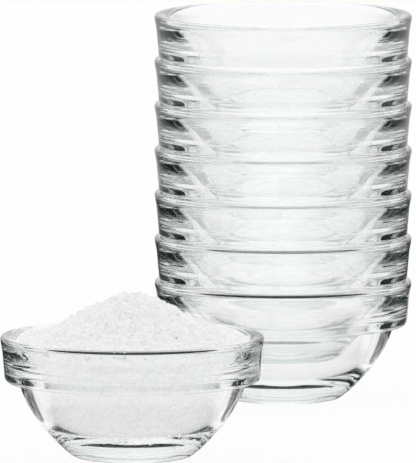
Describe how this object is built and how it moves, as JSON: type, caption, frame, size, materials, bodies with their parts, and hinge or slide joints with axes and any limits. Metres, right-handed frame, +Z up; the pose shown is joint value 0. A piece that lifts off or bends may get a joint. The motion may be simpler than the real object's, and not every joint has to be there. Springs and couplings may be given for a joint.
{
  "type": "stacking prep bowl set",
  "caption": "Clear pressed-glass stacking prep bowls with an upright band over a rounded tapered body: a nested stack, and a bowl in front heaped with coarse salt.",
  "frame": {"origin": "on the table, midway between the axis of the stack and the axis of the front bowl", "axes": "+Z up, +Y from the front bowl towards the stack's row at the back, +X towards the stack's side"},
  "size_m": [0.1184, 0.207, 0.1127],
  "materials": {
    "clear_glass": "polished",
    "salt": "matte"
  },
  "bodies": {
    "stack_bowl_1": {"stack_bowl_1": "clear_glass"},
    "stack_bowl_2": {"stack_bowl_2": "clear_glass"},
    "stack_bowl_3": {"stack_bowl_3": "clear_glass"},
    "stack_bowl_4": {"stack_bowl_4": "clear_glass"},
    "stack_bowl_5": {"stack_bowl_5": "clear_glass"},
    "stack_bowl_6": {"stack_bowl_6": "clear_glass"},
    "stack_bowl_7": {"stack_bowl_7": "clear_glass"},
    "front_bowl": {"front_bowl": "clear_glass", "coarse_salt": "salt"}
  },
  "joints": [
    {"name": "stack_bowl_2_lift", "type": "slide", "parent": "stack_bowl_1", "child": "stack_bowl_2", "axis": [0, 0, 1], "range_m": [0, 0.03]},
    {"name": "stack_bowl_3_lift", "type": "slide", "parent": "stack_bowl_2", "child": "stack_bowl_3", "axis": [0, 0, 1], "range_m": [0, 0.03]},
    {"name": "stack_bowl_4_lift", "type": "slide", "parent": "stack_bowl_3", "child": "stack_bowl_4", "axis": [0, 0, 1], "range_m": [0, 0.03]},
    {"name": "stack_bowl_5_lift", "type": "slide", "parent": "stack_bowl_4", "child": "stack_bowl_5", "axis": [0, 0, 1], "range_m": [0, 0.03]},
    {"name": "stack_bowl_6_lift", "type": "slide", "parent": "stack_bowl_5", "child": "stack_bowl_6", "axis": [0, 0, 1], "range_m": [0, 0.03]},
    {"name": "stack_bowl_7_lift", "type": "slide", "parent": "stack_bowl_6", "child": "stack_bowl_7", "axis": [0, 0, 1], "range_m": [0, 0.03]},
    {"name": "front_bowl_lift", "type": "slide", "parent": "stack_bowl_1", "child": "front_bowl", "axis": [0, 0, 1], "range_m": [0, 0.05]}
  ]
}
